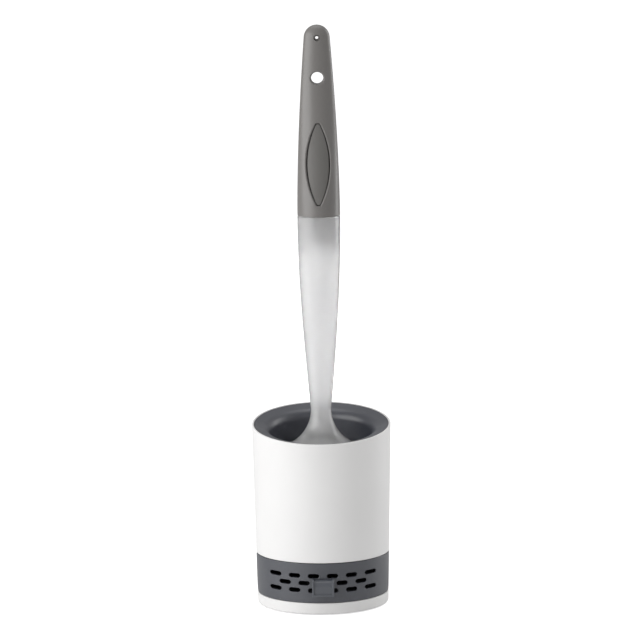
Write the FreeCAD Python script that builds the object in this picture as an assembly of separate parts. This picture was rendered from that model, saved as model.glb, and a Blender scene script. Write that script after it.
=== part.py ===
# Free-standing toilet brush holder with a refillable brush that dispenses cleaning liquid.
# Millimetres, +Z up. The origin is the centre of the foot pad's underside; the drawer faces -Y.
import FreeCAD
import Part

import math
import os

Vector = FreeCAD.Vector

# ---------------------------------------------------------------- holder: sizes that drive it
FOOT_PROUD = 0.8              # how far the foot pad stands out under the shell
FOOT_RADIUS = 40.0
FOOT_THICKNESS = 1.6

SHELL_BASE_RADIUS = 48.3      # outside radius at the floor, and at the middle of the rim
SHELL_RIM_RADIUS = 51.0
RIM_HEIGHT = 134.0            # middle of the slanted rim
RIM_SLOPE = math.tan(math.radians(8.3))   # the rim rises towards the back
SHELL_WALL = 2.4
SHELL_BOTTOM_ROUNDING = 1.5
RIM_LIP = 1.5                 # wall left outside the rebate that holds the liner
RIM_LIP_ROUNDING = 0.5
REBATE_DEPTH = 2.4
SHELF_THICKNESS = 1.8         # ring inside the shell, over the drawer
SHELF_ABOVE_WINDOW = 0.6

BASE_THICKNESS = 2.4
BASE_SKIRT_HEIGHT = 5.2
BASE_SKIRT_WALL = 1.6
BASE_CLEARANCE = 0.25
SNAP_BEAD = 0.6               # bead on the base's skirt, held in a groove of the shell
SNAP_DROP = 2.6               # from the top of the skirt down to the middle of the beads
SNAP_DIRECTIONS = (0.0, 120.0, 240.0)
SNAP_ANGLE = 24.0

# ---------------------------------------------------------------- drawer
WINDOW_BOTTOM = 9.3
WINDOW_TOP = 39.1
WINDOW_HALF_ANGLE = 86.0
WINDOW_LOW_CORNER = 8.0
WINDOW_HIGH_CORNER = 3.5
EDGE_ROUNDING = 0.4           # on the edges of the window, the drawer's front and its slots
DRAWER_GAP = 0.35             # all round the drawer's front
FRONT_WALL = 2.2
TRAY_WALL = 1.6
TRAY_FLOOR = 1.8
TRAY_HEIGHT = 19.0
TRAY_ROUNDING = 2.0           # under the tray, clear of the window's low corners
TRAY_FRONT_HALF_ANGLE = 64.0  # the tray's wall is cut away behind the slots, to each side of -Y
TRAY_SIDE_GAP = 0.8           # tray to the window's inner corners
RUNNER_GAP = 0.2
RAIL_WIDTH = 2.4
RAIL_SPREAD = 44.0            # between the two rails' middles
RAIL_INSET = 6.0              # the rails end this far inside the skirt
GROOVE_DEPTH = 0.9            # grooves under the tray, over the rails
CLIP_RIB = 2.2                # rib behind the front, trapped by the tray's lugs
CLIP_ANGLES = (-42.0, 0.0, 42.0)
CLIP_WIDTH = 9.0
CLIP_GAP = 0.12
CLIP_RIB_SHARE = 0.8          # length of the rib, as a share of the front's

SLOT_LENGTH = 8.0
SLOT_HEIGHT = 3.2
SLOT_PITCH = 13.7
SLOT_ROW_PITCH = 5.35
SLOT_MIDDLE_HEIGHT = 24.1
SLOT_OUTER_COUNT = 6
SLOT_MIDDLE_COUNT = 5

TAB_WIDTH = 15.9
TAB_TOP = 27.4
TAB_BOTTOM = 15.8
TAB_REACH = 6.2               # how far the tab stands out from the drawer's front
TAB_THICKNESS = 1.6
TAB_RIM = 0.9                 # raised edge down both sides and along the bottom
TAB_RIM_WIDTH = 1.4
TAB_BEND_SHARE = 0.8          # radius of the tab's bend, as a share of its reach
TAB_ROUNDING = 0.35
TAB_ROOT_WIDTH = 11.0
TAB_ROOT_HEIGHT = 2.2
TAB_CLIP = 1.0                # the clip behind the front, on each side of the root
TAB_GAP = 0.12

# ---------------------------------------------------------------- liner
WELL_RADIUS = 37.5
LINER_WALL = 1.8
LINER_CLEARANCE = 0.3
FLOOR_TOP = 44.0
FLOOR_THICKNESS = 1.8
LINER_FOOT = 40.5             # lowest edge of the liner, inside the shelf's hole
FUNNEL_SLOPE = 0.28
SHOULDER_RADIUS = 7.0         # rounding from the funnel into the well
WELL_JOINT = 105.0            # height where the slanted part of the liner begins
DRAIN_COUNT = 8
DRAIN_LENGTH = 14.0
DRAIN_WIDTH = 3.0
DRAIN_MIDDLE_RADIUS = 22.0
DRAIN_HOLE_RADIUS = 4.0

# ---------------------------------------------------------------- brush: heights above its tip
TIP_CLEARANCE = 0.3           # bristle tips to the liner's floor
BRISTLE_RADIUS = 33.0
BRISTLE_TOP = 66.4
BRISTLE_DOME = 28.0           # height of the rounded lower end
BRISTLE_BEVEL = 4.0           # at the top of the bristles
CORE_RADIUS = 14.0
CORE_TIP = 16.5
CORE_SHELL_GAP = 0.1
OUTLET_RADIUS = 2.5

SPOUT_END = 66.0
SPOUT_WALL = 1.85
NECK_HEIGHT = 100.3
NECK_RADIUS = 7.45
BELL_ROUNDING = 28.5          # radius of the bell's flare
BELL_LIP_RADIUS = 33.0
BOTTLE_WALL = 1.8
BOSS_RADIUS = 11.5
BOSS_FACE = 81.2
GASKET_THICKNESS = 1.8
COLLAR_RADIUS = 12.0
SOCKET_GAP = 0.2
VALVE_FLANGE = 1.5
VALVE_DOME_RADIUS = 3.6
VALVE_GAP = 0.1

MOUTH_HEIGHT = 242.9
MOUTH_RADIUS = 15.6
BORE_RADIUS = 13.9
SEAT_HEIGHT = 222.9           # ledge that the washer seals on
SEAT_RADIUS = 11.0
SEAT_THICKNESS = 1.6
WASHER_THICKNESS = 1.9
JOINT_GAP = 0.1

THREAD_PITCH = 2.5
THREAD_TURNS = 5.0
THREAD_FIRST = 228.2          # where the first turn of the plug's thread starts
THREAD_CLEARANCE = 0.3
SPIGOT_ROOT_RADIUS = 12.8
SPIGOT_BORE = 10.6
RIDGE_ROOT_WIDTH = 1.35
RIDGE_CREST_WIDTH = 0.7
RIDGE_SUNK = 0.3              # how deep a thread's ridge is rooted in its wall
PLUG_FLANGE = 1.2             # thickness of the plug's flange
PLUG_RIM = 1.0                # wall of the grip left round the flange

GRIP_LENGTH = 138.7
GRIP_END_WIDTH = 9.5          # half width and half depth where the rounded end starts
GRIP_END_DEPTH = 6.4
GRIP_WALL = 2.2
GRIP_CAVITY_TOP = 326.0
HANG_HOLE_HEIGHT = 343.2
HANG_HOLE_RADIUS = 4.45
HOLE_ROUNDING = 1.0
SEAM_ROUNDING = 0.4           # edges of the seam between the grip and the bottle
EYELET_HEIGHT = 372.2
EYELET_RADIUS = 1.2
EYELET_SINK_RADIUS = 2.3
EYELET_SINK_DEPTH = 2.0

PAD_MIDDLE = 281.0
PAD_HALF_WIDTH = 7.7
PAD_HALF_LENGTH = 29.0
PAD_END_ROUNDING = 4.0
PAD_GAP = 0.7
PAD_RECESS = 0.7
POCKET_ROUNDING = 1.0         # round the edge of the pad's pocket
PAD_THICKNESS = 3.4
PAD_FLANGE_REACH = 2.0
PAD_FLANGE_GAP = 0.3

FAR = 400.0                   # longer than anything that is cut
BEYOND = 1.2                  # factor that takes a cutting shape well past the surface it cuts
OUTSIDE_TOLERANCE = 0.01      # share of the grip's size, within which a point counts as on it
OVAL_LEAST = 0.001            # least difference between the two axes of an oval


# ---------------------------------------------------------------- places worked out from them
SHELL_BOTTOM = FOOT_PROUD
SHELL_SLANT = (SHELL_RIM_RADIUS - SHELL_BASE_RADIUS) / RIM_HEIGHT
SHELF_BOTTOM = WINDOW_TOP + SHELF_ABOVE_WINDOW
SHELF_TOP = SHELF_BOTTOM + SHELF_THICKNESS
LINER_OUTER = WELL_RADIUS + LINER_WALL
BASE_BOTTOM = FOOT_THICKNESS
BASE_TOP = BASE_BOTTOM + BASE_THICKNESS
BRUSH_REST = FLOOR_TOP + TIP_CLEARANCE
TRAY_BOTTOM = WINDOW_BOTTOM + DRAWER_GAP + RUNNER_GAP
GRIP_START = MOUTH_HEIGHT + JOINT_GAP
GRIP_END = MOUTH_HEIGHT + GRIP_LENGTH - GRIP_END_WIDTH
GRIP_FLOOR = GRIP_START + PLUG_FLANGE + GRIP_WALL


def shell_radius(height, inset=0.0):
    """Outside radius of the tapered shell at a height, less an inset."""
    return SHELL_BASE_RADIUS + SHELL_SLANT * height - inset


# ---------------------------------------------------------------- shapes that several parts use
def edge_through(points):
    """Edge in the XZ plane: straight through two points, an arc through three, a curve through more."""
    places = [Vector(radius, 0, height) for radius, height in points]
    if len(places) == 2:
        return Part.LineSegment(*places).toShape()
    if len(places) == 3:
        return Part.Arc(*places).toShape()
    curve = Part.BSplineCurve()
    curve.interpolate(places)
    return curve.toShape()


def lathe(*pieces):
    """Solid of revolution about Z. A piece is a list of (radius, height), from where the last one ended."""
    edges = [edge_through(points) for points in pieces]
    first, last = pieces[0][0], pieces[-1][-1]
    if first != last:
        edges.append(edge_through([last, first]))
    section = Part.Face(Part.Wire(edges))
    return section.revolve(Vector(0, 0, 0), Vector(0, 0, 1), 360)


def turned(*corners):
    """Solid of revolution about Z with straight sides."""
    return lathe(*[[corners[i], corners[i + 1]] for i in range(len(corners) - 1)])


def shell_cone(bottom, top, inset):
    """Solid cone that follows the shell's outside, less an inset."""
    return turned(
        (0, bottom), (shell_radius(bottom, inset), bottom), (shell_radius(top, inset), top), (0, top))


def box(x, y, z):
    """Box between two values along each axis."""
    size = Vector(x[1] - x[0], y[1] - y[0], z[1] - z[0])
    return Part.makeBox(size.x, size.y, size.z, Vector(x[0], y[0], z[0]))


def above_rim(drop):
    """Everything above the slanted rim's plane, lowered by a drop."""
    low, high = (RIM_HEIGHT - drop + RIM_SLOPE * y for y in (-FAR, FAR))
    corners = [(-FAR, low), (FAR, high), (FAR, high + FAR), (-FAR, high + FAR), (-FAR, low)]
    face = Part.Face(Part.makePolygon([Vector(-FAR, y, z) for y, z in corners]))
    return face.extrude(Vector(2 * FAR, 0, 0))


def sector(inner, outer, bottom, top, half_angle):
    """Part of a ring that is centred on -Y and reaches half_angle to each side."""
    corners = [(inner, bottom), (outer, bottom), (outer, top), (inner, top), (inner, bottom)]
    face = Part.Face(Part.makePolygon([Vector(r, 0, z) for r, z in corners]))
    ring = face.revolve(Vector(0, 0, 0), Vector(0, 0, 1), 2 * half_angle)
    ring.rotate(Vector(0, 0, 0), Vector(0, 0, 1), -90.0 - half_angle)
    return ring


def drawer_opening(gap):
    """Block as wide and high as the shell's window with rounded corners, less a gap all round."""
    inner, outer = WELL_RADIUS * 0.5, SHELL_RIM_RADIUS * BEYOND
    half_angle = WINDOW_HALF_ANGLE - math.degrees(gap / SHELL_BASE_RADIUS)
    bottom, top = WINDOW_BOTTOM + gap, WINDOW_TOP - gap
    block = sector(inner, outer, bottom, top, half_angle)
    for height, rounding in ((bottom, WINDOW_LOW_CORNER), (top, WINDOW_HIGH_CORNER)):
        ends = [e for e in block.Edges if is_radial_edge(e, height)]
        block = block.makeFillet(rounding - gap, ends)
    return block


def is_radial_edge(edge, height):
    """True for a straight level edge at a height."""
    straight = isinstance(edge.Curve, Part.Line)
    return straight and all(abs(v.Z - height) < 1e-6 for v in edge.Vertexes)


def around(shape, angle):
    """Copy of a shape that stands at -Y, turned about Z."""
    copy = shape.copy()
    copy.rotate(Vector(0, 0, 0), Vector(0, 0, 1), angle)
    return copy


def slanted(shape):
    """Copy of a shape, sheared so that level planes become parallel to the rim."""
    matrix = FreeCAD.Matrix()
    matrix.A32 = RIM_SLOPE
    return shape.transformGeometry(matrix)


# ---------------------------------------------------------------- holder
def outer_shell():
    bottom, top = SHELL_BOTTOM, RIM_HEIGHT + RIM_SLOPE * SHELL_RIM_RADIUS * BEYOND
    body = shell_cone(bottom, top, 0).cut(drawer_opening(0))
    body = body.makeFillet(EDGE_ROUNDING, outline_edges(body))
    body = body.cut(shell_cone(SHELF_TOP, top, SHELL_WALL))
    body = body.cut(shell_cone(bottom, SHELF_BOTTOM, SHELL_WALL))
    liner_hole = LINER_OUTER + LINER_CLEARANCE
    body = body.cut(turned((0, bottom), (liner_hole, bottom), (liner_hole, top), (0, top)))
    body = body.cut(above_rim(0))
    rebate = shell_cone(SHELF_TOP, top, RIM_LIP).common(above_rim(REBATE_DEPTH))
    body = body.cut(rebate)
    body = body.makeFillet(SHELL_BOTTOM_ROUNDING, [outermost_edge(body, bottom)])
    body = body.makeFillet(RIM_LIP_ROUNDING, rim_edges(body))
    return body.cut(snap_beads(SNAP_BEAD + BASE_CLEARANCE, BASE_CLEARANCE))


def outermost_edge(shape, height):
    """The widest level edge at a height."""
    level = [e for e in shape.Edges if all(abs(v.Z - height) < 1e-6 for v in e.Vertexes)]
    return max(level, key=lambda e: e.BoundBox.XLength)


def outline_edges(shape):
    """The edges round cut-outs of the tapered outside that lie within the window's heights."""
    def on_outside(point):
        inside = WINDOW_BOTTOM - 0.01 < point.z < WINDOW_TOP + 0.01
        return inside and abs(math.hypot(point.x, point.y) - shell_radius(point.z)) < 1e-3
    return [e for e in shape.Edges if all(on_outside(p) for p in e.discretize(7))]


def rim_edges(shape):
    """The edges that lie in the rim's slanted plane."""
    def on_plane(point):
        return abs(point.z - RIM_HEIGHT - RIM_SLOPE * point.y) < 1e-4
    return [e for e in shape.Edges if all(on_plane(p) for p in e.discretize(7))]


def snap_beads(reach, spread):
    """Beads round the base's skirt, or the grooves that take them when spread is more than 0."""
    skirt_top = BASE_TOP + BASE_SKIRT_HEIGHT
    middle = skirt_top - SNAP_DROP
    radius = shell_radius(middle, SHELL_WALL + BASE_CLEARANCE)
    half = math.degrees(spread / radius) + SNAP_ANGLE / 2
    half_height = SNAP_BEAD + spread
    low, high = middle - half_height, middle + half_height
    bead = sector(radius - BASE_SKIRT_WALL / 2, radius + reach, low, high, half)
    beads = [around(bead, direction) for direction in SNAP_DIRECTIONS]
    return beads[0].fuse(beads[1:])


def base_plate():
    skirt_top = BASE_TOP + BASE_SKIRT_HEIGHT
    inset = SHELL_WALL + BASE_CLEARANCE
    plate = shell_cone(BASE_BOTTOM - FOOT_PROUD / 2, skirt_top, inset)
    plate = plate.cut(shell_cone(BASE_TOP, skirt_top, inset + BASE_SKIRT_WALL))
    recess_radius = FOOT_RADIUS + BASE_CLEARANCE
    recess = turned((0, 0), (recess_radius, 0), (recess_radius, BASE_BOTTOM), (0, BASE_BOTTOM))
    plate = plate.cut(recess)
    plate = plate.fuse(snap_beads(SNAP_BEAD, 0))
    for rail in rail_blocks(0, TRAY_BOTTOM + GROOVE_DEPTH - RUNNER_GAP, shell_radius(0, inset) - RAIL_INSET):
        plate = plate.fuse(rail)
    return plate.removeSplitter()


def rail_blocks(grow, top, reach):
    """The two rails under the drawer, or with some growth the grooves that run on them."""
    half = RAIL_WIDTH / 2 + grow
    rails = []
    for middle in (-RAIL_SPREAD / 2, RAIL_SPREAD / 2):
        half_length = math.sqrt(reach ** 2 - middle ** 2)
        x, y = (middle - half, middle + half), (-half_length, half_length)
        rails.append(box(x, y, (BASE_TOP - grow, top)))
    return rails


def foot_pad():
    pad = turned((0, 0), (FOOT_RADIUS, 0), (FOOT_RADIUS, FOOT_THICKNESS), (0, FOOT_THICKNESS))
    return pad.makeFillet(FOOT_THICKNESS / 4, [outermost_edge(pad, 0)])


# ---------------------------------------------------------------- liner
def inner_liner():
    """Cup with a funnel at its mouth. The funnel and the top of the wall are made level, then slanted."""
    inner, outer = WELL_RADIUS, LINER_OUTER
    edge = SHELL_RIM_RADIUS * BEYOND
    top = RIM_HEIGHT - RIM_LIP_ROUNDING / 2
    ledge = SHELL_WALL - RIM_LIP + SHELL_SLANT * (RIM_SLOPE * SHELL_RIM_RADIUS + REBATE_DEPTH)
    seat = RIM_HEIGHT - REBATE_DEPTH + LINER_CLEARANCE + FUNNEL_SLOPE * ledge
    low = WELL_JOINT - edge * RIM_SLOPE * BEYOND
    funnel = lathe(
        *funnel_line(inner, edge, top, low),
        [(inner, low), (outer, low)],
        *[points[::-1] for points in funnel_line(outer, edge, seat, low)[::-1]],
    )
    funnel = slanted(funnel).common(box((-FAR, FAR), (-FAR, FAR), (WELL_JOINT, FAR)))
    funnel = funnel.common(shell_cone(LINER_FOOT, RIM_HEIGHT * BEYOND, RIM_LIP + LINER_CLEARANCE))
    cup = turned(
        (inner, WELL_JOINT), (outer, WELL_JOINT), (outer, LINER_FOOT), (inner, LINER_FOOT),
        (inner, FLOOR_TOP - FLOOR_THICKNESS), (0, FLOOR_TOP - FLOOR_THICKNESS),
        (0, FLOOR_TOP), (inner, FLOOR_TOP), (inner, WELL_JOINT))
    cup = cup.cut(drain_holes())
    return cup.fuse(funnel).removeSplitter()


def funnel_line(radius, edge, top, low):
    """Line from the funnel's edge, down its slope, round the shoulder and down the wall at a radius."""
    rounding = SHOULDER_RADIUS - (radius - WELL_RADIUS)
    turn = math.pi / 2 - math.atan(FUNNEL_SLOPE)
    rim_radius = SHELL_RIM_RADIUS - RIM_LIP
    reach = rounding * (1 - math.cos(turn))
    fall = rounding * math.sin(turn)
    start = top - FUNNEL_SLOPE * (rim_radius - radius - reach)
    middle = (radius + rounding * (1 - math.cos(turn / 2)), start - fall + rounding * math.sin(turn / 2))
    return [
        [(edge, top + FUNNEL_SLOPE * (edge - rim_radius)), (radius + reach, start)],
        [(radius + reach, start), middle, (radius, start - fall)],
        [(radius, start - fall), (radius, low)],
    ]


def drain_holes():
    """Ring of radial slots round a middle hole, through the liner's floor."""
    span = (0, FLOOR_TOP + FLOOR_THICKNESS)
    half = DRAIN_WIDTH / 2
    run = DRAIN_LENGTH / 2 - half
    low, high = -DRAIN_MIDDLE_RADIUS - run, -DRAIN_MIDDLE_RADIUS + run
    slot = box((-half, half), (low, high), span)
    for y in (low, high):
        slot = slot.fuse(Part.makeCylinder(half, span[1], Vector(0, y, 0)))
    slots = [around(slot, i * 360.0 / DRAIN_COUNT) for i in range(DRAIN_COUNT)]
    middle = Part.makeCylinder(DRAIN_HOLE_RADIUS, span[1])
    return middle.fuse(slots)


# ---------------------------------------------------------------- drawer
def tray_radius():
    """Outside radius of the tray, which passes between the window's inner corners."""
    inner_corner = shell_radius(WINDOW_BOTTOM, SHELL_WALL) * math.sin(math.radians(WINDOW_HALF_ANGLE))
    return inner_corner - TRAY_SIDE_GAP


def drip_tray():
    outer = tray_radius()
    inner = outer - TRAY_WALL
    floor_top = TRAY_BOTTOM + TRAY_FLOOR
    top = TRAY_BOTTOM + TRAY_HEIGHT
    tray = turned(
        (0, TRAY_BOTTOM), (outer, TRAY_BOTTOM), (outer, top),
        (inner, top), (inner, floor_top), (0, floor_top))
    tray = tray.makeFillet(TRAY_ROUNDING, [outermost_edge(tray, TRAY_BOTTOM)])
    low_front = slot_height_at(-1) - SLOT_HEIGHT
    gap = sector(inner - TRAY_WALL, outer * BEYOND, low_front, top + TRAY_WALL, TRAY_FRONT_HALF_ANGLE)
    tray = tray.cut(gap)
    tray = tray.cut(rail_blocks(RUNNER_GAP, TRAY_BOTTOM + GROOVE_DEPTH, FAR))
    lug_low = clip_rib_top() + CLIP_GAP
    half_angle = math.degrees(CLIP_WIDTH / 2 / outer)
    reach = shell_radius(WINDOW_BOTTOM, FRONT_WALL + CLIP_GAP)
    lug = sector(inner + TRAY_WALL / 2, reach, lug_low, lug_low + CLIP_RIB, half_angle)
    tray = tray.fuse([around(lug, angle) for angle in CLIP_ANGLES])
    return tray.removeSplitter()


def clip_rib_top():
    return TRAY_BOTTOM + DRAWER_GAP + CLIP_RIB


def slot_height_at(row):
    """Middle height of a row of slots, from -1 for the lowest to 1."""
    return SLOT_MIDDLE_HEIGHT + row * SLOT_ROW_PITCH


def slot_places():
    """Middles of the slots, as (x, z). The middle row's own middle slot makes way for the tab."""
    places = []
    for row, count in ((-1, SLOT_OUTER_COUNT), (0, SLOT_MIDDLE_COUNT), (1, SLOT_OUTER_COUNT)):
        for i in range(count):
            x = (i - (count - 1) / 2) * SLOT_PITCH
            if row or abs(x) > SLOT_PITCH / 2:
                places.append((x, slot_height_at(row)))
    return places


def vent_slot(x, z):
    """Round-ended slot, cut straight back along Y."""
    half = SLOT_HEIGHT / 2
    run = SLOT_LENGTH / 2 - half
    depth = SHELL_RIM_RADIUS * BEYOND
    slot = box((x - run, x + run), (-depth, 0), (z - half, z + half))
    for end in (x - run, x + run):
        slot = slot.fuse(Part.makeCylinder(half, depth, Vector(end, -depth, z), Vector(0, 1, 0)))
    return slot


def drawer_front():
    bottom, top = WINDOW_BOTTOM, WINDOW_TOP
    wall = shell_cone(bottom, top, 0).cut(shell_cone(bottom, top, FRONT_WALL))
    front = wall.common(drawer_opening(DRAWER_GAP))
    rib_bottom = clip_rib_top() - CLIP_RIB
    rib = sector(
        tray_radius() + CLIP_GAP, shell_radius(bottom, FRONT_WALL / 2), rib_bottom, clip_rib_top(),
        WINDOW_HALF_ANGLE * CLIP_RIB_SHARE)
    front = front.fuse(rib)
    front = front.cut([vent_slot(x, z) for x, z in slot_places()])
    front = front.makeFillet(EDGE_ROUNDING, outline_edges(front))
    return front.cut(tab_root(TAB_GAP)).removeSplitter()


def front_face():
    """Y of the drawer's front on the middle line, at the height of the tab's root."""
    return -shell_radius(TAB_TOP)


def tab_root(gap):
    """Block of the tab that passes through the drawer's front."""
    half = TAB_ROOT_WIDTH / 2 + gap
    y = (front_face() - TAB_THICKNESS / 2, front_face() + FRONT_WALL + TAB_CLIP)
    z = (TAB_TOP - TAB_ROOT_HEIGHT - gap, TAB_TOP + gap)
    return box((-half, half), y, z)


def pull_tab():
    """Hooked tab: out from the front, round and down, with a raised edge on its outer face."""
    half = TAB_WIDTH / 2
    plate = tab_plate(-TAB_THICKNESS, 0, TAB_BOTTOM, half)
    rim = tab_plate(-TAB_THICKNESS / 2, TAB_RIM, TAB_BOTTOM, half)
    rim = rim.cut(tab_plate(0, TAB_RIM * 2, TAB_BOTTOM + TAB_RIM_WIDTH, half - TAB_RIM_WIDTH))
    tab = plate.fuse(rim).removeSplitter()
    tab = tab.makeFillet(TAB_ROUNDING, outer_face_edges(tab)).fuse(tab_root(0))
    clip_half = TAB_ROOT_WIDTH / 2 + TAB_CLIP
    back = front_face() + FRONT_WALL + TAB_GAP * 2
    clip = box((-clip_half, clip_half), (back, back + TAB_CLIP), (TAB_TOP - TAB_ROOT_HEIGHT, TAB_TOP))
    wall = shell_cone(WINDOW_BOTTOM, WINDOW_TOP, 0)
    wall = wall.cut(shell_cone(WINDOW_BOTTOM, WINDOW_TOP, FRONT_WALL + TAB_GAP))
    return tab.fuse(clip).cut(wall.cut(tab_root(0))).removeSplitter()


def outer_face_edges(tab):
    """The edges that lie in the raised face of the tab's flat part."""
    face = front_face() - TAB_REACH - TAB_RIM
    return [e for e in tab.Edges if all(abs(v.Y - face) < 1e-6 for v in e.Vertexes)]


def tab_plate(inner, outer, bottom, half_width):
    """The tab's hooked plate between two offsets from its outer face, down to a bottom."""
    face = front_face() - TAB_REACH
    bend = TAB_REACH * TAB_BEND_SHARE
    lines = []
    for offset in (outer, inner):
        middle = (face + bend, TAB_TOP - bend)
        radius = bend + offset
        slope = math.sin(math.radians(45))
        lines.append([
            (front_face() + FRONT_WALL / 2, TAB_TOP + offset),
            (middle[0], TAB_TOP + offset),
            (middle[0] - radius * slope, middle[1] + radius * slope),
            (face - offset, middle[1]),
            (face - offset, bottom),
        ])
    edges = []
    (start_o, top_o, mid_o, turn_o, end_o), (start_i, top_i, mid_i, turn_i, end_i) = lines
    for points in ([start_o, top_o], [top_o, mid_o, turn_o], [turn_o, end_o], [end_o, end_i],
                   [end_i, turn_i], [turn_i, mid_i, top_i], [top_i, start_i], [start_i, start_o]):
        edges.append(edge_through(points))
    face_shape = Part.Face(Part.Wire(edges))
    face_shape.rotate(Vector(0, 0, 0), Vector(0, 0, 1), 90)
    face_shape.translate(Vector(-half_width, 0, 0))
    return face_shape.extrude(Vector(2 * half_width, 0, 0))


# ---------------------------------------------------------------- brush: bottle
def bottle_radius(height):
    """Outside radius of the bottle's tapered part, from the neck up to the mouth."""
    share = (height - NECK_HEIGHT) / (MOUTH_HEIGHT - NECK_HEIGHT)
    return NECK_RADIUS + (MOUTH_RADIUS - NECK_RADIUS) * math.sin(math.pi / 2 * share)


def bottle_line(low, high, inset, count=8):
    """Points up the bottle's side between two heights, less an inset."""
    heights = [low + (high - low) * i / (count - 1) for i in range(count)]
    return [(bottle_radius(h) - inset, h) for h in heights]


def bell_point(radius, inset):
    """Point at a radius on the bell's flare, an arc that starts level at the neck, inset into the wall."""
    centre = NECK_RADIUS + BELL_ROUNDING
    reach = BELL_ROUNDING + inset
    return (radius, NECK_HEIGHT - math.sqrt(reach ** 2 - (centre - radius) ** 2))


def reservoir():
    spout = NECK_RADIUS
    channel = spout - SPOUT_WALL
    inset = BOTTLE_WALL
    lip_top = bell_point(BELL_LIP_RADIUS, 0)
    lip_low = bell_point(BELL_LIP_RADIUS, inset)
    lip_middle = (BELL_LIP_RADIUS + inset / 2, (lip_top[1] + lip_low[1]) / 2)
    boss = bell_point(BOSS_RADIUS, inset)
    seat_low = SEAT_HEIGHT - SEAT_THICKNESS
    ramp = seat_low - (MOUTH_RADIUS - SEAT_RADIUS)
    upper = bottle_line(NECK_HEIGHT, ramp, SPOUT_WALL)
    body = lathe(
        bottle_line(NECK_HEIGHT, MOUTH_HEIGHT, 0)[::-1],
        [(NECK_RADIUS, NECK_HEIGHT), bell_point((NECK_RADIUS + BOSS_RADIUS) / 2, 0), lip_top],
        [lip_top, lip_middle, lip_low],
        [lip_low, bell_point((BOSS_RADIUS + BELL_LIP_RADIUS) / 2, inset), boss],
        [boss, (BOSS_RADIUS, BOSS_FACE)],
        [(BOSS_RADIUS, BOSS_FACE), (spout, BOSS_FACE)],
        [(spout, BOSS_FACE), (spout, SPOUT_END)],
        [(spout, SPOUT_END), (channel, SPOUT_END)],
        [(channel, SPOUT_END), (channel, NECK_HEIGHT)],
        upper,
        [upper[-1], (SEAT_RADIUS, seat_low)],
        [(SEAT_RADIUS, seat_low), (SEAT_RADIUS, SEAT_HEIGHT)],
        [(SEAT_RADIUS, SEAT_HEIGHT), (BORE_RADIUS, SEAT_HEIGHT)],
        [(BORE_RADIUS, SEAT_HEIGHT), (BORE_RADIUS, MOUTH_HEIGHT)],
    )
    crest = SPIGOT_ROOT_RADIUS + THREAD_CLEARANCE
    body = body.makeFillet(SEAM_ROUNDING, [outermost_edge(body, MOUTH_HEIGHT)])
    ridge = thread_ridge(BORE_RADIUS, crest, THREAD_FIRST - THREAD_PITCH / 2)
    return raised(body.fuse(ridge))


def thread_ridge(root, crest, start):
    """Right-hand helical ridge from a root radius to a crest radius, rooted a little into its wall."""
    outward = 1 if crest > root else -1
    sunk = root - outward * RIDGE_SUNK
    root_half, crest_half = RIDGE_ROOT_WIDTH / 2, RIDGE_CREST_WIDTH / 2
    corners = [
        (sunk, -root_half), (crest, -crest_half), (crest, crest_half), (sunk, root_half), (sunk, -root_half)]
    section = Part.makePolygon([Vector(r, 0, start + z) for r, z in corners])
    path = Part.makeHelix(THREAD_PITCH, THREAD_PITCH * THREAD_TURNS, root)
    path.translate(Vector(0, 0, start))
    return Part.Wire(path.Edges).makePipeShell([section], True, True)


def raised(shape):
    """Shape of the brush, moved from its own heights to where it stands in the liner."""
    shape.translate(Vector(0, 0, BRUSH_REST))
    return shape


def seal_washer():
    low = SEAT_HEIGHT + JOINT_GAP / 2
    high = low + WASHER_THICKNESS
    outer = SPIGOT_ROOT_RADIUS
    return raised(turned(
        (SPIGOT_BORE, low), (outer, low), (outer, high), (SPIGOT_BORE, high), (SPIGOT_BORE, low)))


# ---------------------------------------------------------------- brush: grip
def grip_half_width(height):
    """Half the grip's width: full at the seam, easing in towards its rounded end."""
    share = (height - MOUTH_HEIGHT) / (GRIP_END - MOUTH_HEIGHT)
    return MOUTH_RADIUS - (MOUTH_RADIUS - GRIP_END_WIDTH) * share ** 1.7


def grip_half_depth(height):
    """Half the grip's depth: round at the seam, flatter towards its end."""
    share = (height - MOUTH_HEIGHT) / (GRIP_END - MOUTH_HEIGHT)
    return MOUTH_RADIUS - (MOUTH_RADIUS - GRIP_END_DEPTH) * math.sin(math.pi / 2 * share) ** 1.3


def oval_wire(half_width, half_depth, height):
    """Level ellipse, wider along X."""
    wide, narrow = Vector(half_width, 0, height), Vector(0, half_depth, height)
    return Part.Wire(Part.Ellipse(wide, narrow, Vector(0, 0, height)).toShape())


def grip_body(inset, low, high, count=8):
    """Solid inside the grip's surface less an inset, between two heights."""
    heights = [low + (high - low) * i / (count - 1) for i in range(count)]
    sections = []
    for h in heights:
        wide, narrow = grip_half_width(h) - inset, grip_half_depth(h) - inset - OVAL_LEAST
        sections.append(oval_wire(wide, narrow, h))
    return Part.makeLoft(sections, True, False)


def grip_outside():
    """The grip's whole outside, with its rounded end."""
    end = Part.makeSphere(GRIP_END_WIDTH, Vector(0, 0, GRIP_END))
    flatten = FreeCAD.Matrix()
    flatten.A22 = GRIP_END_DEPTH / GRIP_END_WIDTH
    return grip_body(0, GRIP_START, GRIP_END, 12).fuse(end.transformGeometry(flatten))


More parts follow.
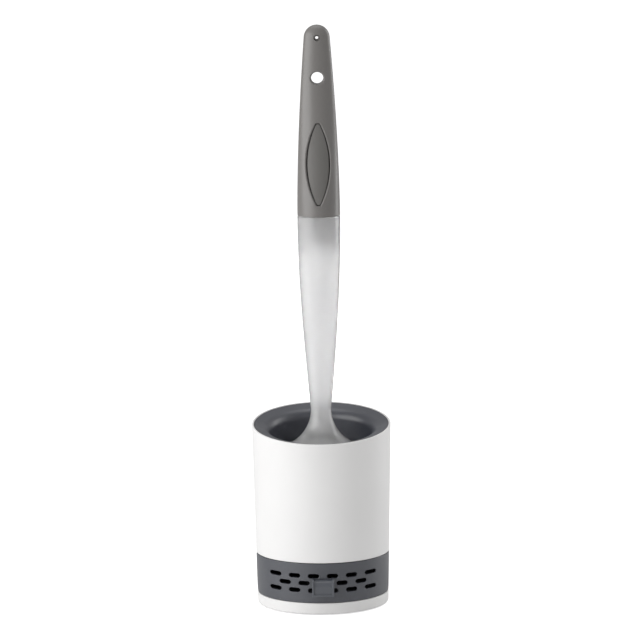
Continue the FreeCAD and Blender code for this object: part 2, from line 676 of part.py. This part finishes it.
def pad_block(grow):
    """Oval prism from the middle of the grip out to its front, as large as the pad plus a margin."""
    half_width, half_length = PAD_HALF_WIDTH + grow, PAD_HALF_LENGTH + grow
    rounding = PAD_END_ROUNDING + grow
    reach = half_length - rounding
    side = (half_width ** 2 + reach ** 2 - rounding ** 2) / (2 * (half_width - rounding))
    turn = math.atan2(side - half_width, reach)
    join = Vector(rounding * math.cos(turn), 0, reach + rounding * math.sin(turn))
    corners = [Vector(x * join.x, 0, z * join.z) for x, z in ((1, -1), (1, 1), (-1, 1), (-1, -1))]
    side_middle, end_middle = Vector(half_width, 0, 0), Vector(0, 0, half_length)
    middles = [side_middle, end_middle, -side_middle, -end_middle]
    arcs = [Part.Arc(corners[i], middles[i], corners[(i + 1) % 4]).toShape() for i in range(4)]
    outline = Part.Wire(arcs)
    outline.translate(Vector(0, 0, PAD_MIDDLE))
    return Part.Face(outline).extrude(Vector(0, -MOUTH_RADIUS * BEYOND, 0))


def grip():
    body = grip_outside()
    body = body.cut(grip_body(GRIP_WALL, GRIP_FLOOR, GRIP_CAVITY_TOP))
    recess = MOUTH_RADIUS - PLUG_RIM + JOINT_GAP / 2
    low, ledge, high = GRIP_START - GRIP_WALL, GRIP_START + PLUG_FLANGE, GRIP_FLOOR + GRIP_WALL
    body = body.cut(turned(
        (0, low), (recess, low), (recess, ledge), (SPIGOT_BORE, ledge), (SPIGOT_BORE, high), (0, high)))
    body = body.cut(pad_block(PAD_GAP))
    body = body.cut(hole_along_y(HANG_HOLE_RADIUS, HANG_HOLE_HEIGHT, 0))
    body = body.cut(hole_along_y(EYELET_RADIUS, EYELET_HEIGHT, 0))
    sink_floor = grip_half_depth(EYELET_HEIGHT) - EYELET_SINK_DEPTH
    body = body.cut(hole_along_y(EYELET_SINK_RADIUS, EYELET_HEIGHT, sink_floor))
    hole_low, hole_high = (HANG_HOLE_HEIGHT + side * HANG_HOLE_RADIUS * BEYOND for side in (-1, 1))
    body = body.makeFillet(HOLE_ROUNDING, outside_edges(body, hole_low, hole_high))
    pocket_low, pocket_high = (PAD_MIDDLE + side * (PAD_HALF_LENGTH + POCKET_ROUNDING) for side in (-1, 1))
    body = body.makeFillet(POCKET_ROUNDING, outside_edges(body, pocket_low, pocket_high))
    return raised(body.makeFillet(SEAM_ROUNDING, [outermost_edge(body, GRIP_START)]))


def screw_plug():
    """Threaded tube under the grip. Its flange is bonded into the recess in the grip's lower end."""
    low, high = SEAT_HEIGHT + WASHER_THICKNESS + JOINT_GAP, GRIP_START + PLUG_FLANGE
    root, flange = SPIGOT_ROOT_RADIUS, MOUTH_RADIUS - PLUG_RIM
    tube = turned(
        (SPIGOT_BORE, low), (root, low), (root, GRIP_START), (flange, GRIP_START),
        (flange, high), (SPIGOT_BORE, high), (SPIGOT_BORE, low))
    crest = BORE_RADIUS - THREAD_CLEARANCE
    return raised(tube.fuse(thread_ridge(root, crest, THREAD_FIRST)))


def outside_edges(shape, low, high):
    """The edges of cut-outs in the grip's outside, between two heights."""
    def on_outside(point):
        if not low < point.z < high:
            return False
        across, deep = point.x / grip_half_width(point.z), point.y / grip_half_depth(point.z)
        return abs(math.hypot(across, deep) - 1) < OUTSIDE_TOLERANCE
    return [e for e in shape.Edges if not e.Degenerated and all(on_outside(p) for p in e.discretize(7))]


def hole_along_y(radius, height, blind):
    """Hole through the grip along Y, or two sinks that stop at a distance from its middle."""
    reach = MOUTH_RADIUS * BEYOND
    front = Part.makeCylinder(radius, reach - blind, Vector(0, -reach, height), Vector(0, 1, 0))
    back = Part.makeCylinder(radius, reach - blind, Vector(0, blind, height), Vector(0, 1, 0))
    return front.fuse(back)


def press_pad():
    """Soft oval pad in the grip's window, with a flange behind the wall."""
    low, high = GRIP_FLOOR + PAD_FLANGE_GAP, GRIP_CAVITY_TOP + GRIP_WALL
    back = PAD_RECESS + PAD_THICKNESS
    flange_front = GRIP_WALL + PAD_FLANGE_GAP
    face = pad_block(0).common(grip_body(PAD_RECESS, low, high))
    flange = pad_block(PAD_FLANGE_REACH).common(grip_body(flange_front, low, high))
    return raised(face.fuse(flange).cut(grip_body(back, low, high)).removeSplitter())


# ---------------------------------------------------------------- brush: head
def head_gasket():
    inner = NECK_RADIUS + SOCKET_GAP
    low = BOSS_FACE - GASKET_THICKNESS
    return raised(turned(
        (inner, low), (BOSS_RADIUS, low), (BOSS_RADIUS, BOSS_FACE), (inner, BOSS_FACE), (inner, low)))


def outlet_valve():
    """Slit valve: a flange under the spout's end, with a hollow dome below it."""
    flange, dome = NECK_RADIUS, VALVE_DOME_RADIUS
    high = SPOUT_END - VALVE_GAP
    low = high - VALVE_FLANGE
    hollow = dome - VALVE_FLANGE * 0.6
    slope = math.sin(math.radians(45))
    return raised(lathe(
        [(hollow, high), (flange, high)],
        [(flange, high), (flange, low)],
        [(flange, low), (dome, low)],
        [(dome, low), (dome * slope, low - dome * slope), (0, low - dome)],
        [(0, low - dome), (0, low - hollow)],
        [(0, low - hollow), (hollow * slope, low - hollow * slope), (hollow, low)],
        [(hollow, low), (hollow, high)],
    ))


def head_core():
    """Hard core of the brush head: a socket round the spout, and a bullet that carries the bristles."""
    socket = NECK_RADIUS + SOCKET_GAP
    top = BOSS_FACE - GASKET_THICKNESS - JOINT_GAP
    ledge = SPOUT_END - VALVE_GAP * 2 - VALVE_FLANGE
    chamber = VALVE_DOME_RADIUS + VALVE_GAP
    funnel = ledge - VALVE_DOME_RADIUS - VALVE_FLANGE
    dome_start = CORE_TIP + CORE_RADIUS
    slope = math.radians(45)
    shoulder = (CORE_RADIUS * math.sin(slope), dome_start - CORE_RADIUS * math.cos(slope))
    tip_turn = math.asin(OUTLET_RADIUS / CORE_RADIUS)
    tip = (OUTLET_RADIUS, dome_start - CORE_RADIUS * math.cos(tip_turn))
    return raised(lathe(
        [(socket, top), (COLLAR_RADIUS, top)],
        [(COLLAR_RADIUS, top), (COLLAR_RADIUS, BRISTLE_TOP)],
        [(COLLAR_RADIUS, BRISTLE_TOP), (CORE_RADIUS, BRISTLE_TOP)],
        [(CORE_RADIUS, BRISTLE_TOP), (CORE_RADIUS, dome_start)],
        [(CORE_RADIUS, dome_start), shoulder, tip],
        [tip, (OUTLET_RADIUS, funnel - chamber)],
        [(OUTLET_RADIUS, funnel - chamber), (chamber, funnel)],
        [(chamber, funnel), (chamber, ledge)],
        [(chamber, ledge), (socket, ledge)],
        [(socket, ledge), (socket, top)],
    ))


def bristle_head():
    """Outer shape of the bristles: a jacket round the core, rounded at the bottom, open over the outlet."""
    inner = CORE_RADIUS + CORE_SHELL_GAP
    outer = BRISTLE_RADIUS
    dome_start = CORE_TIP + CORE_RADIUS
    slope = math.radians(45)
    tip_turn = math.asin(OUTLET_RADIUS / inner)
    tip = (OUTLET_RADIUS, dome_start - inner * math.cos(tip_turn))
    crown = outer - BRISTLE_BEVEL
    dome = [(r, bristle_dome(r)) for r in (outer, outer * 0.9, outer * 0.5, OUTLET_RADIUS)]
    return raised(lathe(
        [(inner, BRISTLE_TOP), (crown, BRISTLE_TOP)],
        [(crown, BRISTLE_TOP), (outer, BRISTLE_TOP - BRISTLE_BEVEL)],
        [(outer, BRISTLE_TOP - BRISTLE_BEVEL), dome[0]],
        dome,
        [dome[-1], tip],
        [tip, (inner * math.sin(slope), dome_start - inner * math.cos(slope)), (inner, dome_start)],
        [(inner, dome_start), (inner, BRISTLE_TOP)],
    ))


def bristle_dome(radius):
    """Height of the bristles' rounded lower end at a radius."""
    return BRISTLE_DOME * (1 - math.sqrt(1 - (radius / BRISTLE_RADIUS) ** 2))


# ---------------------------------------------------------------- one STEP file for each part
PARTS = (
    outer_shell, base_plate, foot_pad, inner_liner, drip_tray, drawer_front, pull_tab,
    reservoir, seal_washer, screw_plug, grip, press_pad, head_gasket, outlet_valve, head_core, bristle_head,
)


def main():
    os.makedirs("parts", exist_ok=True)
    for make in PARTS:
        shape = make()
        shape.exportStep(os.path.join("parts", make.__name__ + ".step"))
        low, high = shape.BoundBox.ZMin, shape.BoundBox.ZMax
        print(f"{make.__name__}: {len(shape.Solids)} solid, valid {shape.isValid()}, "
              f"{shape.Volume:.0f} mm3, z {low:.1f} to {high:.1f}")


main()
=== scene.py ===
"""Looks for the toilet brush holder: plastic, rubber and bristles on the CAD frame, in a pale studio."""

from collections import namedtuple
import math
import random

import bpy
from mathutils import Matrix, Vector


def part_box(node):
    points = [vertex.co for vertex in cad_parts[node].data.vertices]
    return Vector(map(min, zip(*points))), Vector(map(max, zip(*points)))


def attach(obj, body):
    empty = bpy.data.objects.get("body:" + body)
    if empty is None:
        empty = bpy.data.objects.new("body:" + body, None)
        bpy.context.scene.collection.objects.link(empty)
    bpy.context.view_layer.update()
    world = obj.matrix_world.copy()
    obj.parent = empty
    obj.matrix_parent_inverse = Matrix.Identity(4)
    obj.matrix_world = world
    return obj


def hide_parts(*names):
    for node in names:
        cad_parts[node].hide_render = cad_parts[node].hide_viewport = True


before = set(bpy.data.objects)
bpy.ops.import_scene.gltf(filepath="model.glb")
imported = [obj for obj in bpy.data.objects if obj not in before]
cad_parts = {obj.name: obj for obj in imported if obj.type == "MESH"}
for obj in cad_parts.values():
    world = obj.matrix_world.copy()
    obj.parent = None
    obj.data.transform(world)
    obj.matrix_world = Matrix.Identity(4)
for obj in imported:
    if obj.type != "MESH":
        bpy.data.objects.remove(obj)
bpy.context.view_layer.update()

MM = 0.001
FULL_TURN = 2 * math.pi
WHITE = (1, 1, 1, 1)

# noise: features per metre, detail and, where it isn't even, its stretch
CLOUD_NOISE = (22, 4)
WEAR_NOISE = (70, 5, (1, 1, 0.5))
WAVE_NOISE = (40, 1)
FROST_CLOUD_NOISE = (30, 4)
FROST_GRAIN_NOISE = (2500, 2)
FIBRE_CLOUD_NOISE = (60, 4)
FIBRE_STRAND_NOISE = (900, 2)
FLOOR_NOISE = (3, 3)
GRAIN_DETAIL = 2
NOISE_RANGE = (0.3, 0.7)      # of the noise, stretched over a colour or a roughness

# plastics
WAVE_DEPTH = 0.04             # mm, of the faint flow waves in moulded plastic
FROST_GRAIN_DEPTH = 0.01      # mm
FROST_TINT_CHANGE = 0.015
FROST_INDEX = 1.46            # of refraction
FROST_SPREAD = 25 * MM        # how far light spreads in the frosted plastic
FIBRE_COLOUR, FIBRE_TINT_CHANGE = (0.8, 0.8, 0.79), 0.06
FIBRE_ROUGHNESS = (0.4, 0.6)
FIBRE_STRAND_DEPTH = 0.02     # mm

# bristles
SEED = 7
DOME_HEIGHT = 28.0 * MM       # of the bristles' rounded lower end
SKIN = 0.3 * MM               # kept between a bristle's tip and the outside of the head
STEP = 0.5 * MM               # of the search for where a bristle meets that outside
DOME_LIMIT = 0.985            # share of the dome that a bristle may reach, squared
ROOT_DEPTH = 0.8 * MM         # how deep the tufts are rooted in the core
BRISTLE_THICKNESS = 0.16 * MM
BRISTLE_SAG = 0.5 * MM
BRISTLE_LEAST_SHARE = 0.94    # of the free length that the shortest bristles have
BRISTLE_RINGS = 4
BRISTLE_SIDES = 3
TIP_TAPER = 0.25
TUFT_SPREAD = 1.5 * MM
TUFT_ROWS, TUFTS_PER_ROW = 9, 18
TUFT_TOP_MARGIN = 3.5 * MM
ROW_TUFT = (16, 0.16)         # strands in a tuft, and how far they lean out
DOME_TUFT = (18, 0.2)
DOME_TUFTS = ((17, 17), (34, 15), (51, 11), (68, 7))   # degrees below level, tufts round the dome

# studio
FLOOR_HALF = 30.0
FLOOR_COLOUR, FLOOR_TINT_CHANGE = (0.8, 0.8, 0.8), 0.004
FLOOR_ROUGHNESS = 0.6
FLOOR_GLOW = (0.75, 0.05)     # strength as seen, and as a light on the object
WORLD_GLOW = (1.0, 0.46)
LIGHT_TARGET = (0, 0, 0.2)
SOFTBOXES = (                 # name, place, width, height, watts
    ("key_left", (-1.58, -0.84, 0.6), 2.2, 1.6, 30),
    ("rim_right", (1.4, 0.65, 0.6), 0.45, 1.5, 8),
    ("top", (0, 0.2, 1.9), 1.4, 1.4, 8),
)
CAMERA_PLACE = (0, -2.5, 0.571)
CAMERA_TARGET = (0, 0, 0.2102)
CAMERA_LENS, CAMERA_SENSOR = 194.3, 36    # mm
CAMERA_ROLL = -0.68           # degrees
CAMERA_FAR = 100


# ---------------------------------------------------------------- materials
def start_material(name):
    """A new node material, with its node tree and its shader."""
    material = bpy.data.materials.new(name)
    material.use_nodes = True
    tree = material.node_tree
    return material, tree, tree.nodes["Principled BSDF"]


def object_noise(tree, scale, detail, stretch=(1, 1, 1)):
    """Noise that is fixed to the object, with so many features per metre."""
    place = tree.nodes.new("ShaderNodeTexCoord")
    mapping = tree.nodes.new("ShaderNodeMapping")
    mapping.inputs["Scale"].default_value = stretch
    noise = tree.nodes.new("ShaderNodeTexNoise")
    noise.inputs["Scale"].default_value = scale
    noise.inputs["Detail"].default_value = detail
    tree.links.new(place.outputs["Object"], mapping.inputs["Vector"])
    tree.links.new(mapping.outputs["Vector"], noise.inputs["Vector"])
    return noise.outputs["Fac"]


def spread(tree, noise, low, high):
    """Maps noise to a range of numbers."""
    ramp = tree.nodes.new("ShaderNodeMapRange")
    ramp.inputs["From Min"].default_value, ramp.inputs["From Max"].default_value = NOISE_RANGE
    ramp.inputs["To Min"].default_value = low
    ramp.inputs["To Max"].default_value = high
    tree.links.new(noise, ramp.inputs["Value"])
    return ramp.outputs["Result"]


def tinted(tree, noise, colour, change):
    """Varies a colour a little, darker and lighter, with noise."""
    ramp = tree.nodes.new("ShaderNodeValToRGB")
    ends = ramp.color_ramp.elements
    ends[0].position, ends[1].position = NOISE_RANGE
    ends[0].color = tuple(c * (1 - change) for c in colour) + (1,)
    ends[1].color = tuple(min(1, c * (1 + change)) for c in colour) + (1,)
    tree.links.new(noise, ramp.inputs["Fac"])
    return ramp.outputs["Color"]


def bumped(tree, shader, layers):
    """Adds bump from noise layers, each (noise, depth in mm)."""
    normal = None
    for noise, depth in layers:
        bump = tree.nodes.new("ShaderNodeBump")
        bump.inputs["Strength"].default_value = 1.0
        bump.inputs["Distance"].default_value = depth * MM
        tree.links.new(noise, bump.inputs["Height"])
        if normal:
            tree.links.new(normal, bump.inputs["Normal"])
        normal = bump.outputs["Normal"]
    tree.links.new(normal, shader.inputs["Normal"])


def moulded_plastic(name, colour, change, rough, grain, grain_depth, specular=0.5):
    """Moulded plastic: cloudy colour, uneven gloss, a fine grain and faint flow waves."""
    material, tree, shader = start_material(name)
    cloud = object_noise(tree, *CLOUD_NOISE)
    wear = object_noise(tree, *WEAR_NOISE)
    fine = object_noise(tree, grain, GRAIN_DETAIL)
    wave = object_noise(tree, *WAVE_NOISE)
    tree.links.new(tinted(tree, cloud, colour, change), shader.inputs["Base Color"])
    tree.links.new(spread(tree, wear, *rough), shader.inputs["Roughness"])
    shader.inputs["Specular IOR Level"].default_value = specular
    bumped(tree, shader, [(wave, WAVE_DEPTH), (fine, grain_depth)])
    return material


def frosted_plastic(name, colour, rough, clear):
    """Translucent frosted plastic, slightly cloudy, with a clear share."""
    material, tree, shader = start_material(name)
    cloud = object_noise(tree, *FROST_CLOUD_NOISE)
    fine = object_noise(tree, *FROST_GRAIN_NOISE)
    tree.links.new(tinted(tree, cloud, colour, FROST_TINT_CHANGE), shader.inputs["Base Color"])
    tree.links.new(spread(tree, cloud, *rough), shader.inputs["Roughness"])
    shader.inputs["Transmission Weight"].default_value = clear
    shader.inputs["Subsurface Weight"].default_value = 1.0
    shader.inputs["Subsurface Radius"].default_value = (1, 1, 1)
    shader.inputs["Subsurface Scale"].default_value = FROST_SPREAD
    shader.inputs["IOR"].default_value = FROST_INDEX
    bumped(tree, shader, [(fine, FROST_GRAIN_DEPTH)])
    return material


def fibre():
    """The bristles' pale fibre, streaked and uneven."""
    material, tree, shader = start_material("bristle_fibre")
    cloud = object_noise(tree, *FIBRE_CLOUD_NOISE)
    strand = object_noise(tree, *FIBRE_STRAND_NOISE)
    tree.links.new(tinted(tree, cloud, FIBRE_COLOUR, FIBRE_TINT_CHANGE), shader.inputs["Base Color"])
    tree.links.new(spread(tree, strand, *FIBRE_ROUGHNESS), shader.inputs["Roughness"])
    bumped(tree, shader, [(strand, FIBRE_STRAND_DEPTH)])
    return material


# by CAD node. Moulded: name, colour, change of tint, roughness from and to, the grain's features per
# metre, its depth in mm. Frosted: name, colour, roughness from and to, clear share.
MATERIALS = {
    "outer_shell": moulded_plastic("shell_white", (0.80, 0.795, 0.79), 0.012, (0.3, 0.4), 1800, 0.006),
    "base_plate": moulded_plastic("base_white", (0.78, 0.78, 0.77), 0.015, (0.38, 0.5), 1800, 0.008),
    "foot_pad": moulded_plastic("foot_rubber", (0.05, 0.05, 0.055), 0.12, (0.75, 0.9), 1200, 0.03),
    "inner_liner": moulded_plastic(
        "liner_grey", (0.048, 0.051, 0.064), 0.05, (0.32, 0.42), 2200, 0.008, specular=0.8),
    "drip_tray": moulded_plastic("tray_grey", (0.06, 0.063, 0.075), 0.05, (0.4, 0.55), 2200, 0.01),
    "drawer_front": moulded_plastic(
        "drawer_grey", (0.042, 0.046, 0.058), 0.05, (0.38, 0.48), 2200, 0.008, specular=1.0),
    "pull_tab": moulded_plastic(
        "tab_grey", (0.07, 0.076, 0.09), 0.05, (0.26, 0.36), 2200, 0.008, specular=0.8),
    "reservoir": frosted_plastic("reservoir_frosted", (0.99, 0.985, 0.985), (0.1, 0.15), 0.62),
    "screw_plug": frosted_plastic("plug_frosted", (0.99, 0.985, 0.98), (0.12, 0.18), 0.55),
    "seal_washer": moulded_plastic("seal_silicone", (0.85, 0.85, 0.84), 0.1, (0.6, 0.75), 1500, 0.02),
    "grip": moulded_plastic(
        "grip_grey", (0.165, 0.157, 0.15), 0.03, (0.34, 0.44), 3000, 0.012, specular=0.7),
    "press_pad": moulded_plastic("pad_soft", (0.14, 0.135, 0.128), 0.03, (0.5, 0.62), 3200, 0.014),
    "head_gasket": moulded_plastic("gasket_rubber", (0.04, 0.04, 0.04), 0.1, (0.6, 0.75), 1500, 0.02),
    "outlet_valve": moulded_plastic("valve_silicone", (0.6, 0.6, 0.57), 0.03, (0.5, 0.65), 1500, 0.02),
    "head_core": moulded_plastic("core_grey", (0.07, 0.073, 0.08), 0.04, (0.4, 0.5), 2200, 0.01),
}


def dress_frame():
    """Gives every shown CAD node its material."""
    for node, material in MATERIALS.items():
        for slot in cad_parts[node].material_slots:
            slot.material = material


def add_object(name, data):
    """A new object in the scene."""
    added = bpy.data.objects.new(name, data)
    bpy.context.collection.objects.link(added)
    return added


# ---------------------------------------------------------------- bristles
Head = namedtuple("Head", "bottom top radius core_radius core_middle")


def measure_head():
    """Measures of the head, from the boxes of its two CAD nodes. The core's lower end is a half ball."""
    low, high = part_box("bristle_head")
    core_low, core_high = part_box("head_core")
    core_radius = (core_high.x - core_low.x) / 2
    return Head(low.z, high.z, (high.x - low.x) / 2, core_radius, core_low.z + core_radius)


def inside_head(point, head):
    """Whether a point is inside the head's outline, which is straight above and rounded below."""
    radius = math.hypot(point.x, point.y)
    if point.z > head.top - SKIN or radius > head.radius - SKIN:
        return False
    drop = max(0, head.bottom + DOME_HEIGHT - point.z) / DOME_HEIGHT
    return not drop or (radius / head.radius) ** 2 + drop ** 2 <= DOME_LIMIT


def free_length(root, direction, head):
    """How far a bristle can run before it meets the head's outside."""
    reach = STEP
    while inside_head(root + direction * reach, head):
        reach += STEP
    return reach - STEP


def sideways(direction):
    """Two directions square to one and to each other."""
    side = direction.orthogonal().normalized()
    return side, direction.cross(side)


def add_bristle(mesh_data, rng, root, direction, length):
    """A thin strand, bent a little, with a blunt tip."""
    verts, faces = mesh_data
    side, other = sideways(direction)
    sag = side * rng.uniform(-1, 1) + other * rng.uniform(-1, 1)
    turn = rng.uniform(0, FULL_TURN)
    first = len(verts)
    for ring in range(BRISTLE_RINGS):
        share = ring / (BRISTLE_RINGS - 1)
        middle = root + direction * (length * share) + sag * (BRISTLE_SAG * share ** 2)
        width = BRISTLE_THICKNESS * (1 - TIP_TAPER * share)
        for corner in range(BRISTLE_SIDES):
            angle = turn + corner * FULL_TURN / BRISTLE_SIDES
            verts.append(middle + (side * math.cos(angle) + other * math.sin(angle)) * width)
    for ring in range(BRISTLE_RINGS - 1):
        for corner in range(BRISTLE_SIDES):
            a = first + ring * BRISTLE_SIDES + corner
            b = first + ring * BRISTLE_SIDES + (corner + 1) % BRISTLE_SIDES
            faces.append((a, b, b + BRISTLE_SIDES, a + BRISTLE_SIDES))
    end = first + (BRISTLE_RINGS - 1) * BRISTLE_SIDES
    faces.append(tuple(range(end, end + BRISTLE_SIDES)))
    faces.append(tuple(reversed(range(first, first + BRISTLE_SIDES))))


def add_tuft(mesh_data, rng, root, direction, count, fan, head):
    """Strands from one root that lean out from a direction."""
    side, other = sideways(direction)
    for _ in range(count):
        angle = rng.uniform(0, FULL_TURN)
        lean = fan * math.sqrt(rng.random())
        way = (direction + (side * math.cos(angle) + other * math.sin(angle)) * lean).normalized()
        start = root + (way - direction) * TUFT_SPREAD
        length = free_length(start, way, head) * rng.uniform(BRISTLE_LEAST_SHARE, 1.0)
        add_bristle(mesh_data, rng, start, way, length)


def angles_round(count, staggered):
    """Even angles round the head, half a step on when staggered."""
    shift = 0.5 if staggered else 0
    return [FULL_TURN * (i + shift) / count for i in range(count)]


def grow_bristles():
    """Tufts that fan out from the core to the outside of the head: rows of them, then rings on the dome."""
    head = measure_head()
    rng = random.Random(SEED)
    mesh_data = [], []
    root_radius = head.core_radius - ROOT_DEPTH
    rows_height = head.top - TUFT_TOP_MARGIN - head.core_middle
    for row in range(TUFT_ROWS):
        height = head.core_middle + rows_height * row / (TUFT_ROWS - 1)
        for angle in angles_round(TUFTS_PER_ROW, staggered=row % 2 == 1):
            out = Vector((math.cos(angle), math.sin(angle), 0))
            root = out * root_radius + Vector((0, 0, height))
            add_tuft(mesh_data, rng, root, out, *ROW_TUFT, head)
    for ring, (latitude, count) in enumerate(DOME_TUFTS):
        slope = math.radians(latitude)
        level, down = math.cos(slope), -math.sin(slope)
        for angle in angles_round(count, staggered=ring % 2 == 0):
            out = Vector((math.cos(angle) * level, math.sin(angle) * level, down))
            root = Vector((0, 0, head.core_middle)) + out * root_radius
            add_tuft(mesh_data, rng, root, out, *DOME_TUFT, head)
    return mesh_data


def bristle_head():
    """The bristles as one piece, in place of the solid that stands for them."""
    verts, faces = grow_bristles()
    mesh = bpy.data.meshes.new("bristles")
    mesh.from_pydata(verts, [], faces)
    mesh.update()
    piece = add_object("bristles", mesh)
    mesh.materials.append(fibre())
    for face in mesh.polygons:
        face.use_smooth = True
    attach(piece, "brush")
    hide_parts("bristle_head")


# ---------------------------------------------------------------- studio
def seen_or_lighting(tree, seen, lighting):
    """One strength for what is seen, also through clear plastic, and one for lighting the object."""
    path = tree.nodes.new("ShaderNodeLightPath")
    either = tree.nodes.new("ShaderNodeMath")
    either.operation = "MAXIMUM"
    tree.links.new(path.outputs["Is Camera Ray"], either.inputs[0])
    tree.links.new(path.outputs["Is Transmission Ray"], either.inputs[1])
    strength = tree.nodes.new("ShaderNodeMapRange")
    strength.inputs["To Min"].default_value = lighting
    strength.inputs["To Max"].default_value = seen
    tree.links.new(either.outputs[0], strength.inputs["Value"])
    return strength.outputs["Result"]


def studio_floor():
    """A pale floor that fades into the background."""
    material, tree, shader = start_material("floor_pale")
    cloud = object_noise(tree, *FLOOR_NOISE)
    tree.links.new(tinted(tree, cloud, FLOOR_COLOUR, FLOOR_TINT_CHANGE), shader.inputs["Base Color"])
    shader.inputs["Roughness"].default_value = FLOOR_ROUGHNESS
    shader.inputs["Emission Color"].default_value = WHITE
    tree.links.new(seen_or_lighting(tree, *FLOOR_GLOW), shader.inputs["Emission Strength"])
    corners = [(x * FLOOR_HALF, y * FLOOR_HALF, 0) for x, y in ((-1, -1), (1, -1), (1, 1), (-1, 1))]
    mesh = bpy.data.meshes.new("floor")
    mesh.from_pydata(corners, [], [(0, 1, 2, 3)])
    floor = add_object("floor", mesh)
    mesh.materials.append(material)


def softbox(name, place, width, height, power):
    """Area light at a place, aimed at the object."""
    light = bpy.data.lights.new(name, "AREA")
    light.shape = "RECTANGLE"
    light.size, light.size_y = width, height
    light.energy = power
    holder = add_object(name, light)
    aim = Vector(LIGHT_TARGET) - Vector(place)
    holder.location = place
    holder.rotation_euler = aim.to_track_quat("-Z", "Y").to_euler()


def studio_light():
    """The softboxes and an even white world."""
    for box in SOFTBOXES:
        softbox(*box)
    world = bpy.data.worlds.new("studio")
    bpy.context.scene.world = world
    world.use_nodes = True
    tree = world.node_tree
    background = tree.nodes["Background"]
    background.inputs["Color"].default_value = WHITE
    tree.links.new(seen_or_lighting(tree, *WORLD_GLOW), background.inputs["Strength"])
    bpy.context.scene.view_settings.view_transform = "Standard"


def studio_camera():
    """Long lens, slightly above the rim, rolled a little."""
    camera = bpy.data.cameras.new("camera")
    camera.lens, camera.sensor_width = CAMERA_LENS, CAMERA_SENSOR
    camera.clip_end = CAMERA_FAR
    holder = add_object("camera", camera)
    place = Vector(CAMERA_PLACE)
    look = (Vector(CAMERA_TARGET) - place).to_track_quat("-Z", "Y").to_matrix().to_4x4()
    roll = Matrix.Rotation(math.radians(CAMERA_ROLL), 4, "Z")
    holder.matrix_world = Matrix.Translation(place) @ look @ roll
    bpy.context.scene.camera = holder


dress_frame()
bristle_head()
studio_floor()
studio_light()
studio_camera()
